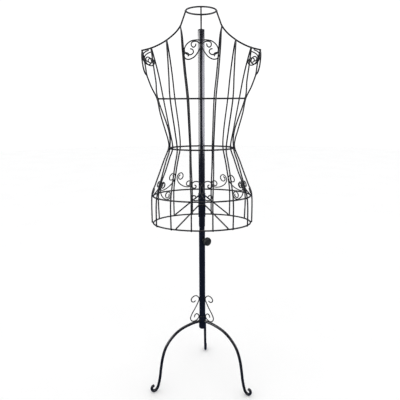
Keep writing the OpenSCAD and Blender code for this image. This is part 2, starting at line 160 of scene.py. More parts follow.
# Tripod: outline of a leg and of its scroll as radius from the pole and height
LEG_TURN = math.radians(90 - 4)
LEG = [(SLEEVE_R - 0.6, 241.5), (SLEEVE_R + LEG_R - NIP, 241), (36, 240), (62, 235), (90, 225.5),
       (115, 209.5), (138, 186), (153.5, 160), (164.5, 125), (171, 88), (176.5, 50), (184, 20), (191, 8.5),
       (199, LEG_R), (206, 8), (209.5, 16), (206.5, 24), (200.5, 25.5)]
BASE_SCROLL = [(28, 328), (36, 324.5), (44, 329), (45, 338), (38, 345.5), (27.5, 348), (18, 343),
               (TUBE_R + SCROLL_R + 0.1, 332), (18, 319), (30, 298), (43, 278), (49, 262.5), (45, 251),
               (34.5, 247), (22.5, 250.5), (SLEEVE_R + SCROLL_R + 0.1, 260), (17, 270), (24, 275), (31, 271),
               (33, 263)]

# Heart scroll: the inner rod crosses to the far side, the outer rod curls in to a hook
HEART_INNER = [(17, 1228.5), (19, 1221.5), (25, 1218), (30.5, 1222), (31.5, 1230), (26.5, 1235.5),
               (16, 1236.5), (7, 1232), (0, 1224), (-4.5, 1214), (-12.5, 1199.5), (-23, 1187.5),
               (-38, 1180.5), (-50, 1183), (-54, 1192), (-51, 1200), (-44.5, 1200.5), (-40, 1196),
               (-42, 1190)]
HEART_OUTER = [(4, 1241), (15.5, 1241.5), (32, 1238.5), (45.5, 1228.5), (53, 1214.5), (52, 1203.5),
               (44.5, 1196.5), (32.5, 1195.5), (25, 1202.5), (27.5, 1211), (35, 1213.5)]
HEART_DEPTH = [(1180, 81), (1210, 71.5), (1245, 55)]

# Shoulder scroll: part of the way from the armhole loop to the outer wire, height
SHOULDER_SCROLL = [(0.82, 1214.5), (0.45, 1210), (0.12, 1202), (0.04, 1192), (0.12, 1181.5), (0.35, 1172.5),
                   (0.65, 1169.5), (0.92, 1173.5), (1, 1181.5), (0.88, 1190), (0.62, 1193.5), (0.4, 1189),
                   (0.42, 1181.5), (0.6, 1179)]
SHOULDER_SCROLL_FROM = (191.5, 27.5)
SHOULDER_SCROLL_TO = {-1: (163.8, 19.3), 1: (159.5, 30.2)}      # at the front and at the back

# Centre rod of the hip band, and the two heights where its left and right copies cross
CENTRE = [(19.5, 741.5), (23.5, 747), (29.2, 746.5), (32.2, 741), (31.2, 734.8), (26, 731.6), (16, 731.5),
          (6, 737), (0, 746.5), (-4.6, 756), (-5.2, 767), (-3, 777), (2, 785), (10, 791.5), (20, 793.5),
          (29.5, 790), (33.6, 783), (32.3, 775.5), (26.5, 771.5), (20.5, 773.5), (19.5, 779), (24, 782)]
CENTRE_CROSSINGS = (746.5, 782.5)
CENTRE_NEAR = 14        # half width of the stretch that lifts
LIFT_REACH = 9          # width of the rise where one rod passes over the other

# Hip band: heights of the big and the small curls
FRONT_HIGH = 772
FRONT_LOW = 743
BACK_HIGH = {-1: 777, 1: 769}       # on the left and on the right
BACK_LOW = 747

# Its panels: width, radius of the big and of the small curl, drop of the C, half widths of the two wires
FRONT_PANELS = [(64, 13, 13, 32, 156, 105), (62, 12, 11, 32, 156, HIP_W)]
BACK_PANELS = [(71, 16.5, 12.5, 30, 105, 36), (66, 16.5, 12.5, 36, 105, 157.5)]

# Its curls: inner radius as a share of the outer one, and the angles that they wind through
BIG_EYE = 0.42
BIG_WIND = (-250, 180)
SMALL_EYE = 0.45
SMALL_WIND = (0, 400)

# Clamp: height and direction of the screw, and the knob on it
CLAMP_Z = 560
CLAMP_TURN = math.radians(-47)
CLAMP_OUT = np.array([math.cos(CLAMP_TURN), math.sin(CLAMP_TURN), 0])
SCREW_HOLE_R = 4.3
HOLE_ROWS = 7           # rows of points this far above and below the hole keep the tube's shading clean
KNOB_IN = 18.1

# Welds: thickness of the beads round the sleeves, the legs and the nut, and half sizes of the lumps
SLEEVE_BEAD = 0.9
LEG_BEAD = 1.3
NUT_BEAD = 1.1
NUT_BEAD_R = 7.0
SCROLL_LUMP = (4.6, 2.2, 1.5)
STRUT_LUMP = (6.5, 2.6, 2.2)

# Camera: lens and sensor width, angle down and roll in degrees, place in metres
LENS = 40.5
SENSOR = 36
PITCH = 12.7
ROLL = -0.3
CAMERA_PLACE = (-0.0066, -1.560, CHEST_Z * MM)


# ---- curves ----


def unit(v):
    return v / np.linalg.norm(v)


def smooth(points, steps=STEPS):
    """Smooth open curve through the points, with that many steps to a span."""
    p = np.array(points, float)
    padded = np.vstack([p[:1], p, p[-1:]])
    t = np.linspace(0, 1, steps, endpoint=False)[:, None]
    spans = [
        0.5 * (2 * b + (c - a) * t + (2 * a - 5 * b + 4 * c - d) * t ** 2 + (3 * b - a - 3 * c + d) * t ** 3)
        for a, b, c, d in zip(padded, padded[1:], padded[2:], padded[3:])
    ]
    return np.vstack(spans + [p[-1:]])


def spiral(centre, r0, r1, a0, a1, steps):
    """Flat spiral about a centre from radius r0 to r1, with its angles in degrees."""
    t = np.linspace(0, 1, steps + 1)
    a = np.radians(a0 + (a1 - a0) * t)
    r = r0 + (r1 - r0) * t
    return np.column_stack([centre[0] + r * np.cos(a), centre[1] + r * np.sin(a)])


def bezier(p0, p1, p2, p3, steps):
    """Cubic curve from p0 to p3 without its two end points."""
    t = np.linspace(0, 1, steps + 1)[1:-1, None]
    s = 1 - t
    return s ** 3 * p0 + 3 * s * s * t * p1 + 3 * s * t * t * p2 + t ** 3 * p3


def c_scroll(span, high, big, low, small, sag):
    """C scroll across a panel: a big curl at height high, a sagging back and a small curl at height low."""
    back = [np.array(p, float) for p in ((0, high), (0, high - sag), (span, low - sag), (span, low))]
    return np.vstack([
        spiral((big, high), big * BIG_EYE, big, *BIG_WIND, 54),
        bezier(*back, 30),
        spiral((span - small, low), small, small * SMALL_EYE, *SMALL_WIND, 44),
    ])


def section(column, z):
    """Column of the body section at any height, straight between its stations."""
    return np.interp(z, SECTIONS[:, 0], SECTIONS[:, column])


def surface_depth(x, z, back):
    """Depth of the body surface at half width x and height z."""
    return section(3 if back else 2, z) * math.sqrt(max(0, 1 - (x / section(1, z)) ** 2))


def upright_path(line, side, back):
    """Upright wire on the body surface, which above the chest ring draws in to the shoulder wire."""
    chest_x, chest_z = line[CHEST_STATION]
    chest_depth = surface_depth(chest_x, chest_z, back)
    points = []
    for k, (x, z) in enumerate(line):
        rise = (z - chest_z) / (line[0][1] - chest_z)
        if k > CHEST_STATION:
            depth = surface_depth(x, z, back)
        elif k == 0:
            depth = RING_R + WIRE_R - NIP
        else:
            depth = chest_depth * math.sqrt(1 - rise ** 2.2)
        points.append((side * x, depth if back else -depth, z))
    return smooth(points)


def ring_path(row):
    """Ring inside the upright wires at one station of the body section."""
    z, width, front, back = SECTIONS[row]
    a = np.linspace(0, 2 * math.pi, RING_STEPS, endpoint=False)
    depth = np.where(np.sin(a) < 0, front, back) - INSET
    return np.column_stack([(width - INSET) * np.cos(a), depth * np.sin(a), np.full(RING_STEPS, z)])


def neck_point(a):
    """Point of the neck ring, which leans forward, at angle a in radians."""
    return np.array([NECK_R * math.cos(a), NECK_R * math.cos(NECK_TILT) * math.sin(a),
                     NECK_Z + NECK_R * math.sin(NECK_TILT) * math.sin(a)])


def neck_stay_path(y_side):
    top = neck_point(y_side * math.pi / 2)
    return smooth([top - (0, 0, RING_R + WIRE_R - NIP), (0, top[1] * 0.72, top[2] - 14),
                   (0, y_side * 14, TUBE_TOP + 24), (0, y_side * STAY_FOOT, CAP_TOP - NIP)])


def armhole_path(side):
    a = np.linspace(0, 2 * math.pi, 96, endpoint=False)
    half = (HOLE_TOP - HOLE_LOW) / 2
    z = HOLE_LOW + half * (1 + np.cos(a))
    lean = np.sqrt((z - HOLE_LOW) / (2 * half))
    x = HOLE_LOW_X + (SHOULDER_W - WIRE_R - HOLE_LOW_X) * lean
    return np.column_stack([side * x, HOLE_DEPTH * np.sin(a) * (1 - 0.12 * np.cos(a)), z])


def strut_path(y_side, foot_x, foot_y, bend_z):
    near = SLEEVE_R + STRUT_R - NIP
    foot_z = HEM_Z + RING_R + STRUT_R - NIP
    half = [(foot_x, foot_y, foot_z),
            (foot_x * 0.55 + 6, foot_y * 0.55 + 6, foot_z * 0.55 + (bend_z - 4) * 0.45),
            (near * 0.95, near * 0.9, bend_z - 5), (near * 0.5, near * 0.98, bend_z - 1)]
    arch = half + [(0, near, bend_z)] + [(-x, y, z) for x, y, z in reversed(half)]
    return smooth([(x, y_side * y, z) for x, y, z in arch])


def turned(line, angle):
    """Outline of radius and height, stood up in the vertical plane at that angle round the pole."""
    return np.array([(r * math.cos(angle), r * math.sin(angle), z) for r, z in line])


def heart_paths(side):
    """Inner and outer rod of one half of the heart, in front of the two inner wires."""
    def place(p, lift):
        depth = np.interp(p[1], *zip(*HEART_DEPTH))
        return side * p[0], -depth - lift, p[1]

    def crossing_lift(x):
        return side * SCROLL_R * 1.05 * math.exp(-(x / LIFT_REACH) ** 2)

    behind = 2 * SCROLL_R + 0.1
    inner = [place(p, behind + crossing_lift(p[0])) for p in smooth(HEART_INNER)]
    outer = [place(p, 0) for p in smooth(HEART_OUTER)]
    return [np.array(inner), np.array(outer)]


def shoulder_scroll_path(side, y_side):
    loop_x, loop_y = SHOULDER_SCROLL_FROM
    wire_x, wire_y = SHOULDER_SCROLL_TO[y_side]
    p = smooth(SHOULDER_SCROLL)
    x = loop_x + (wire_x - loop_x) * p[:, 0] + (p[:, 1] - 1185) * 0.1
    y = loop_y + (wire_y - loop_y) * p[:, 0]
    return np.column_stack([side * x, y_side * y, p[:, 1]])


def hip_scroll_path(outline, span, from_x, to_x, side, back):
    """Flat scroll outline wrapped on the body between the wires at half widths from_x and to_x."""
    a0, a1 = (math.acos(min(1, x / HIP_W)) for x in (from_x, to_x))
    inset = (WIRE_R + SCROLL_R) / span
    angle = a0 + (a1 - a0) * (inset + (1 - 2 * inset) * outline[:, 0] / span)
    z = outline[:, 1]
    depth = section(3, z) if back else -section(2, z)
    return np.column_stack([side * section(1, z) * np.cos(angle), depth * np.sin(angle), z])


def hip_panels(panels, high, low, side, back):
    """C scrolls of one half of the hip band, at its front or at its back."""
    return [hip_scroll_path(c_scroll(span, high, big, low, small, sag), span, from_x, to_x, side, back)
            for span, big, small, sag, from_x, to_x in panels]


def centre_path(side):
    """Centre rod of the hip band, which passes over or under its mirror copy where they cross."""
    points = []
    for x, z in smooth(CENTRE):
        bump = sum(math.exp(-((z - crossing) / LIFT_REACH) ** 2) for crossing in CENTRE_CROSSINGS)
        lift = side * SCROLL_R * 1.06 * min(1, bump) if abs(x) < CENTRE_NEAR else 0
        points.append((side * x, -surface_depth(x, z, False) - lift, z))
    return np.array(points)


# ---- mesh building ----


def transport(path, closed):
    """Directions of travel along a path, and a normal that turns with it as little as possible."""
    ahead = np.roll(path, -1, 0) if closed else np.vstack([path[1:], path[-1:]])
    behind = np.roll(path, 1, 0) if closed else np.vstack([path[:1], path[:-1]])
    along = ahead - behind
    along /= np.linalg.norm(along, axis=1)[:, None]
    first = unit(np.cross(along[0], np.eye(3)[np.argmin(np.abs(along[0]))]))
    normals = [first]
    for direction in along[1:]:
        n = normals[-1] - direction * normals[-1].dot(direction)
        normals.append(unit(n))
    normals = np.array(normals)
    if closed:
        last = unit(normals[-1] - along[0] * normals[-1].dot(along[0]))
        twist = math.atan2(np.cross(last, first).dot(along[0]), last.dot(first))
        turn = np.linspace(0, twist, len(path), endpoint=False)[:, None]
        normals = normals * np.cos(turn) + np.cross(along, normals) * np.sin(turn)
    return along, normals


def grid_faces(rows, sides, closed):
    """Quads between rows of points that are loops, and from the last row to the first if closed."""
    return [
        (i * sides + k, i * sides + (k + 1) % sides, (i + 1) % rows * sides + (k + 1) % sides,
         (i + 1) % rows * sides + k)
        for i in range(rows if closed else rows - 1) for k in range(sides)
    ]


def swept(path, radius, sides, closed=False):
    """Points and faces of a round rod along a path. The ends of an open rod are softly rounded."""
    along, normals = transport(path, closed)
    scale = np.ones(len(path))
    if not closed:
        bulge = radius * 0.45
        arc = np.radians([80, 60, 35])
        path = np.vstack([path[0] - along[0] * bulge * np.sin(arc)[:, None], path,
                          path[-1] + along[-1] * bulge * np.sin(arc[::-1])[:, None]])
        scale = np.concatenate([np.cos(arc), scale, np.cos(arc[::-1])])
        along = np.vstack([[along[0]] * 3, along, [along[-1]] * 3])
        normals = np.vstack([[normals[0]] * 3, normals, [normals[-1]] * 3])
    across = np.cross(along, normals)
    a = np.linspace(0, 2 * math.pi, sides, endpoint=False)
    outward = normals[:, None] * np.cos(a)[:, None] + across[:, None] * np.sin(a)[:, None]
    points = (path[:, None] + radius * scale[:, None, None] * outward).reshape(-1, 3)
    rings = len(path)
    faces = grid_faces(rings, sides, closed)
    if not closed:
        faces.append(tuple(range(sides - 1, -1, -1)))
        faces.append(tuple(range((rings - 1) * sides, rings * sides)))
    return points, faces


def lathed(profile, sides=TUBE_SIDES, closed=True):
    """Points and faces of a profile of radius and height turned about the Z axis.
    An open profile starts and ends on the axis."""
    a = np.linspace(0, 2 * math.pi, sides, endpoint=False)
    rows = profile if closed else profile[1:-1]
    points = [(r * math.cos(t), r * math.sin(t), z) for r, z in rows for t in a]
    count = len(rows)
    faces = grid_faces(count, sides, closed)
    if not closed:
        start, end = len(points), len(points) + 1
        points += [(0, 0, profile[0][1]), (0, 0, profile[-1][1])]
        faces += [(start, (k + 1) % sides, k) for k in range(sides)]
        last = (count - 1) * sides
        faces += [(end, last + k, last + (k + 1) % sides) for k in range(sides)]
    return np.array(points), faces


def joined(parts):
    """Several sets of points and faces as one."""
    points, faces, base = [], [], 0
    for p, f in parts:
        points.append(p)
        faces += [tuple(base + i for i in face) for face in f]
        base += len(p)
    return np.vstack(points), faces


def make_piece(name, shape, material, body, replaced=()):
    """Smooth-shaded object of one shape that rides on a body and may stand for CAD nodes."""
    points, faces = shape
    mesh = bpy.data.meshes.new(name)
    mesh.from_pydata([tuple(p) for p in points * MM], [], faces)
    mesh.validate()
    bm = bmesh.new()
    bm.from_mesh(mesh)
    bmesh.ops.recalc_face_normals(bm, faces=bm.faces)
    for face in bm.faces:
        face.smooth = True
    bm.to_mesh(mesh)
    bm.free()
    mesh.materials.append(material)
    piece = bpy.data.objects.new(name, mesh)
    bpy.context.scene.collection.objects.link(piece)
    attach(piece, body)
    if replaced:
        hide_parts(*replaced)
    return piece


# ---- materials ----


def new_material(name):
    material = bpy.data.materials.new(name)
    material.use_nodes = True
    nodes = material.node_tree.nodes
    return material, nodes, material.node_tree.links, nodes["Principled BSDF"]


def add_noise(nodes, links, coordinates, scale, detail=3.0):
    texture = nodes.new("ShaderNodeTexNoise")
    texture.inputs["Scale"].default_value = scale
    texture.inputs["Detail"].default_value = detail
    links.new(coordinates, texture.inputs["Vector"])
    return texture.outputs["Fac"]


def add_ramp(nodes, links, value, low, high, colours):
    ramp = nodes.new("ShaderNodeValToRGB")
    for element, place, colour in zip(ramp.color_ramp.elements, (low, high), colours):
        element.position = place
        element.color = (*colour, 1)
    links.new(value, ramp.inputs["Fac"])
    return ramp.outputs["Color"]


def add_range(nodes, links, value, low, high, from_low=0.3, from_high=0.7):
    node = nodes.new("ShaderNodeMapRange")
    node.inputs["From Min"].default_value = from_low
    node.inputs["From Max"].default_value = from_high
    node.inputs["To Min"].default_value = low
    node.inputs["To Max"].default_value = high
    links.new(value, node.inputs["Value"])
    return node.outputs["Result"]


def add_bump(nodes, links, heights, target):
    """Chain of bump nodes, each with its height, strength and depth in metres."""
    normal = None
    for value, strength, depth in heights:
        bump = nodes.new("ShaderNodeBump")
        bump.inputs["Strength"].default_value = strength
        bump.inputs["Distance"].default_value = depth
        links.new(value, bump.inputs["Height"])
        if normal:
            links.new(normal, bump.inputs["Normal"])
        normal = bump.outputs["Normal"]
    links.new(normal, target)


def enamel(name, dark, light, roughness, peel, coat):
    """Baked black enamel: uneven film thickness, orange peel, and a painted highlight: a dust-grey lightening
    where the surface faces up, standing in for light from above.
    """
    material, nodes, links, shader = new_material(name)
    place = nodes.new("ShaderNodeTexCoord").outputs["Object"]
    film = add_ramp(nodes, links, add_noise(nodes, links, place, 55), 0.35, 0.72, (dark, light))
    facing = nodes.new("ShaderNodeSeparateXYZ")
    links.new(nodes.new("ShaderNodeNewGeometry").outputs["Normal"], facing.inputs["Vector"])
    # painted top light: surfaces that face up are mixed towards a dust grey, a lighter top that stands in for
    # light from above
    painted_top_light = nodes.new("ShaderNodeMath")
    painted_top_light.operation = "MULTIPLY"
    links.new(add_range(nodes, links, facing.outputs["Z"], 0, 0.09, 0.55, 1.0), painted_top_light.inputs[0])
    links.new(add_range(nodes, links, add_noise(nodes, links, place, 420), 0.2, 1.0), painted_top_light.inputs[1])
    # mixes the film colour with the grey of the painted top light
    top_light_mix = nodes.new("ShaderNodeMix")
    top_light_mix.data_type = "RGBA"
    top_light_mix.inputs["B"].default_value = (0.30, 0.29, 0.27, 1)
    links.new(painted_top_light.outputs["Value"], top_light_mix.inputs["Factor"])
    links.new(film, top_light_mix.inputs["A"])
    links.new(top_light_mix.outputs["Result"], shader.inputs["Base Color"])
    links.new(add_range(nodes, links, add_noise(nodes, links, place, 130, 4), *roughness),
              shader.inputs["Roughness"])
    add_bump(nodes, links, [(add_noise(nodes, links, place, 260), peel, 0.0004),
                            (add_noise(nodes, links, place, 1500, 2), peel * 0.6, 0.00012)],
             shader.inputs["Normal"])
    shader.inputs["IOR"].default_value = 1.5
    shader.inputs["Coat Weight"].default_value = coat
    shader.inputs["Coat Roughness"].default_value = 0.08
    return material


def moulded_plastic(name, dark, light, roughness):
    """Moulded plastic with a fine spark-eroded grain and slightly worn high spots."""
    material, nodes, links, shader = new_material(name)
    place = nodes.new("ShaderNodeTexCoord").outputs["Object"]
    colour = add_ramp(nodes, links, add_noise(nodes, links, place, 240), 0.3, 0.75, (dark, light))
    links.new(colour, shader.inputs["Base Color"])
    links.new(add_range(nodes, links, add_noise(nodes, links, place, 700), *roughness),
              shader.inputs["Roughness"])
    add_bump(nodes, links, [(add_noise(nodes, links, place, 2600, 2), 0.35, 0.00015)],
             shader.inputs["Normal"])
    return material


def zinc_plate(name):
    """Bright zinc plating on a rolled thread."""
    material, nodes, links, shader = new_material(name)
    place = nodes.new("ShaderNodeTexCoord").outputs["Object"]
    colour = add_ramp(nodes, links, add_noise(nodes, links, place, 180), 0.3, 0.75,
                      ((0.38, 0.39, 0.42), (0.58, 0.58, 0.56)))
    links.new(colour, shader.inputs["Base Color"])
    shader.inputs["Metallic"].default_value = 1.0
    links.new(add_range(nodes, links, add_noise(nodes, links, place, 900), 0.28, 0.5),
              shader.inputs["Roughness"])
    add_bump(nodes, links, [(add_noise(nodes, links, place, 1800, 2), 0.3, 0.0001)], shader.inputs["Normal"])
    return material


TUBE_PAINT = enamel("enamel_tube", (0.0020, 0.0024, 0.0045), (0.0045, 0.0052, 0.0085), (0.13, 0.17), 0.006,
                    0.6)
LEG_PAINT = enamel("enamel_leg", (0.0040, 0.0042, 0.0060), (0.0095, 0.0100, 0.0130), (0.20, 0.36), 0.08,
                   0.4)
WIRE_PAINT = enamel("enamel_wire", (0.0040, 0.0040, 0.0045), (0.0110, 0.0110, 0.0120), (0.28, 0.48), 0.10,
                    0.2)
WELD_PAINT = enamel("enamel_weld", (0.0035, 0.0035, 0.0040), (0.0120, 0.0120, 0.0130), (0.26, 0.52), 0.22,
                    0.2)
KNOB_PLASTIC = moulded_plastic("knob_plastic", (0.006, 0.008, 0.007), (0.014, 0.017, 0.016), (0.36, 0.52))
NYLON = moulded_plastic("nylon_plug", (0.020, 0.020, 0.022), (0.035, 0.035, 0.037), (0.45, 0.6))
ZINC = zinc_plate("zinc_steel")


# ---- rods ----

rods = []               # (node, path, radius) of every rod, for the welds
welds = {}              # beads of weld that each node carries


def rod_piece(node, paths, radius, closed=False, sides=ROD_SIDES, body="torso", paint=WIRE_PAINT):
    shape = joined([swept(path, radius, sides, closed) for path in paths])
    rods.extend((node, path, radius) for path in paths)
    return make_piece(node + "_rod", shape, paint, body, (node,))


def make_rings():
    for node, row in RING_ROWS.items():
        rod_piece(node, [ring_path(row)], RING_R, closed=True)
    angles = np.linspace(0, 2 * math.pi, 120, endpoint=False)
    rod_piece("neck_ring", [np.array([neck_point(a) for a in angles])], RING_R, closed=True)


def make_uprights():
    lines = {"front_wire_inner": INNER, "front_wire_middle": MIDDLE_FRONT, "front_wire_outer": OUTER_FRONT,
             "back_wire_inner": INNER, "back_wire_middle": MIDDLE_BACK, "back_wire_outer": OUTER_BACK}
    for side, word in ((-1, "left"), (1, "right")):
        for name, line in lines.items():
            rod_piece(f"{name}_{word}", [upright_path(line, side, name.startswith("back"))], WIRE_R)
        rod_piece(f"side_wire_{word}", [smooth([(side * x, 0, z) for x, z in SIDE])], WIRE_R)


def make_shoulders():
    rod_piece("neck_stay_front", [neck_stay_path(-1)], WIRE_R)
    rod_piece("neck_stay_back", [neck_stay_path(1)], WIRE_R)
    for side, word in ((-1, "left"), (1, "right")):
        rod_piece(f"shoulder_wire_{word}", [smooth([(side * x, 0, z) for x, z in SHOULDER])], RING_R)
        rod_piece(f"armhole_{word}", [armhole_path(side)], WIRE_R, closed=True)


def make_struts():
    rod_piece("strut_front", [strut_path(-1, *STRUT_FRONT)], STRUT_R)
    rod_piece("strut_rear", [strut_path(1, *STRUT_REAR)], STRUT_R)


def make_scrolls():
    for side, word in ((-1, "left"), (1, "right")):
        rod_piece(f"heart_scroll_{word}", heart_paths(side), SCROLL_R)
        rod_piece(f"shoulder_scrolls_{word}", [shoulder_scroll_path(side, y) for y in (-1, 1)], SCROLL_R)
        rod_piece(f"hip_scrolls_front_{word}", hip_panels(FRONT_PANELS, FRONT_HIGH, FRONT_LOW, side, False),
                  SCROLL_R)
        rod_piece(f"hip_scrolls_back_{word}", hip_panels(BACK_PANELS, BACK_HIGH[side], BACK_LOW, side, True),
                  SCROLL_R)
    rod_piece("hip_scroll_centre", [centre_path(side) for side in (-1, 1)], SCROLL_R)


def make_tripod():
    for i, word in enumerate(("rear", "left", "right")):
        angle = LEG_TURN + i * 2 * math.pi / 3
        rod_piece(f"leg_{word}", [turned(smooth(LEG), angle)], LEG_R, sides=LEG_SIDES, body="stand",
                  paint=LEG_PAINT)
        rod_piece(f"base_scroll_{word}", [turned(smooth(BASE_SCROLL), angle)], SCROLL_R, body="stand")


# ---- tubes ----


def lip(r, z, radius, start, steps=4):
    """Quarter-round edge about (r, z), from the angle start in degrees."""
    return [(r + radius * math.cos(math.radians(start + 90 * k / steps)),
             z + radius * math.sin(math.radians(start + 90 * k / steps))) for k in range(steps + 1)]


def tube_profile(outer, inner, low, high, rows=(), edge=0.4):
    """Closed outline of a tube's wall with softened edges, and rows of points at the heights given."""
    keep = edge * 3
    return ([(outer, z) for z in (low + keep, *rows, high - keep)] + lip(outer - edge, high - edge, edge, 0)
            + lip(inner + edge, high - edge, edge, 90) + [(inner, high - keep), (inner, low + keep)]
            + lip(inner + edge, low + edge, edge, 180) + lip(outer - edge, low + edge, edge, 270))


def cut_screw_hole(piece, radius):
    """Drills the clamp screw's hole through the wall of the stand tube."""
    middle = np.array([0, 0, CLAMP_Z])
    points, faces = swept(np.array([middle + CLAMP_OUT * r for r in (2, 8, 14, 20)]), radius, 32)
    cutter_mesh = bpy.data.meshes.new("screw_hole")
    cutter_mesh.from_pydata([tuple(p) for p in points * MM], [], faces)
    cutter = bpy.data.objects.new("screw_hole", cutter_mesh)
    bpy.context.scene.collection.objects.link(cutter)
    boolean = piece.modifiers.new("screw_hole", "BOOLEAN")
    boolean.operation = "DIFFERENCE"
    boolean.solver = "EXACT"
    boolean.object = cutter
    bpy.context.view_layer.update()
    cut = bpy.data.meshes.new_from_object(piece.evaluated_get(bpy.context.evaluated_depsgraph_get()))
    piece.modifiers.clear()
    piece.data = cut
    bpy.data.objects.remove(cutter)


def make_tubes():
    def tube(node, outer, inner, body, rows=()):
        low, high = heights(node)
        return make_piece(node + "_shell", lathed(tube_profile(outer, inner, low, high, rows)), TUBE_PAINT,
                          body, (node,))

    stand = tube("stand_tube", TUBE_R, BORE_R, "stand", (CLAMP_Z - HOLE_ROWS, CLAMP_Z + HOLE_ROWS))
    cut_screw_hole(stand, SCREW_HOLE_R)
    tube("base_socket", SLEEVE_R, TUBE_R, "stand")
    tube("mast_tube", MAST_R, MAST_R - WALL, "mast")
    tube("torso_tube", TUBE_R, BORE_R, "torso")
    tube("strut_sleeve", SLEEVE_R, TUBE_R, "torso")

    cap = [(0, CAP_LOW), (BORE_R, CAP_LOW), (BORE_R, TUBE_TOP), (TUBE_R, TUBE_TOP)]
    cap += lip(TUBE_R - CAP_EDGE, CAP_TOP - CAP_EDGE, CAP_EDGE, 0) + [(TUBE_R - 3, CAP_TOP), (0, CAP_TOP)]
    make_piece("torso_tube_cap_disc", lathed(cap, closed=False), TUBE_PAINT, "torso",
               ("torso_tube_cap",))

    low, high = heights("base_plug")
    rim = heights("base_socket")[0]
    dome = [(SLEEVE_R * math.sin(a), rim - (rim - low) * math.cos(a)) for a in np.radians(range(0, 91, 10))]
    plug = dome + [(SLEEVE_R, rim), (TUBE_R, rim), (TUBE_R, high), (0, high)]
    make_piece("base_plug_dome", lathed(plug, closed=False), TUBE_PAINT, "stand",
               ("base_plug",))


# ---- knob ----


def clamp_place(points):
    """Points of the clamp's own frame, whose Z runs out along the screw, in the object's frame."""
    up = np.array([0, 0, 1])
    across = np.cross(up, CLAMP_OUT)
    p = np.array(points)
    return (0, 0, CLAMP_Z) + p[:, 2:3] * CLAMP_OUT + p[:, 1:2] * across + p[:, 0:1] * up


def make_knob():
    """Knob with eight finger flutes, a shallow dished face and a blind hole for the screw."""
    flutes, flute_place, flute_r = 8, 17.4, 3.4
    hub_r = 9.5             # the hub and the dished face inside this radius stay round
    softness = 0.35         # rounding where a flute meets the rim
    face = [(15.2, 12.5), (15.0, 13.8), (14.4, 14.8), (13.2, 15.6), (11.5, 16.2), (10.2, 16.5), (9.4, 16.35),
            (8.6, 15.9), (7.4, 15.7), (4, 15.7), (0, 15.75)]
    back = [(0, 10), (4.05, 10), (4.05, 0.4), (4.5, 0), (8.6, 0), (9, 0.4), (9, 2), (11.5, 3.1), (14, 4),
            (14.9, 4.9), (15.2, 6), (15.2, 9)]
    points, faces = lathed(back + face, 192, closed=False)
    r = np.hypot(points[:, 0], points[:, 1])
    angle = np.arctan2(points[:, 1], points[:, 0])
    off = (angle + math.pi / flutes) % (2 * math.pi / flutes) - math.pi / flutes
    reach = np.clip(flute_r ** 2 - (flute_place * np.sin(off)) ** 2, 0, None)
    wall = np.where(reach > 0, flute_place * np.cos(off) - np.sqrt(reach), math.inf)
    blended = -softness * np.log(np.exp(-r / softness) + np.exp(-wall / softness))
    shrink = np.where(r > hub_r, blended / np.maximum(r, 1e-6), 1.0)
    points[:, :2] *= shrink[:, None]
    points[:, 2] += KNOB_IN
    make_piece("clamp_knob_body", (clamp_place(points), faces), KNOB_PLASTIC, "clamp_knob",
               ("clamp_knob",))


# ---- welds ----


def unit_ball():
    bm = bmesh.new()
    bmesh.ops.create_icosphere(bm, subdivisions=3, radius=1)
    points = np.array([v.co[:] for v in bm.verts])
    faces = [tuple(v.index for v in f.verts) for f in bm.faces]
    bm.free()
    return points, faces


BALL = unit_ball()


def weld_bead(centre, axes, sizes):
    """Lump of weld with shallow ripples, on three axes with a half size along each."""
    ball, faces = BALL
    ripple = [1 + 0.05 * math.sin(7 * p[0] + centre[0])
              + 0.10 * noise.noise(Vector(p * 1.7 + centre * 0.37)) for p in ball]
    points = centre + (ball * np.array(ripple)[:, None] * sizes) @ np.array(axes)
    return points, faces


def weld_ring(centre, axis, radius, thickness):
    """Bead of weld run once round a joint, with the ripples of its puddle."""
    along = unit(np.array(axis, float))
    side = unit(np.cross(along, (0.3, 0.9, 0.2)))
    other = np.cross(along, side)
    count, ripples = 120, 30
    a = np.linspace(0, 2 * math.pi, count, endpoint=False)
    circle = centre + radius * (np.cos(a)[:, None] * side + np.sin(a)[:, None] * other)
    points, faces = swept(circle, thickness, 12, closed=True)
    swell = np.repeat(1 + 0.10 * np.sin(ripples * a) + 0.06 * np.sin(3 * a + 1), 12)[:, None]
    return np.repeat(circle, 12, axis=0) * (1 - swell) + points * swell, faces


def touching(path_a, path_b, reach, spacing):
    """Indexes where two centre lines come within reach of each other, nearest first and well apart."""
    distance = np.linalg.norm(path_a[:, None] - path_b[None], axis=2)
    found = []
    for i in np.argsort(distance.min(axis=1)):
        if distance[i].min() > reach:
            break
        if all(np.linalg.norm(path_a[i] - path_a[other]) > spacing for other, _ in found):
            found.append((i, int(distance[i].argmin())))
    return found


def tangent(path, i):
    return unit(path[min(i + 1, len(path) - 1)] - path[max(i - 1, 0)])


def make_welds():
    """A bead wherever two rods touch, one piece for each rod that carries them."""
    slack, spacing = 0.5, 14
    for n, (node, path, radius) in enumerate(rods):
        beads = []
        for other_node, other_path, other_radius in rods[n + 1:]:
            scroll = "scroll" in node + other_node
            for i, j in touching(path, other_path, radius + other_radius + slack, spacing):
                apart = other_path[j] - path[i]
                if np.linalg.norm(apart) < 0.3 * radius:
                    continue            # the lump needs a direction from one rod to the other
                normal = unit(apart)
                along = unit(tangent(other_path, j) - normal * normal.dot(tangent(other_path, j)))
                thin = min(radius, other_radius)
                length = 2.6 if scroll else 1.5         # a scroll touches side on, over a longer stretch
                centre = path[i] + apart * radius / (radius + other_radius)
                beads.append(weld_bead(centre, (along, np.cross(normal, along), normal),
                                       (thin * length, thin * 1.25, thin * 0.9)))
        if beads:
            welds.setdefault(node, []).extend(beads)


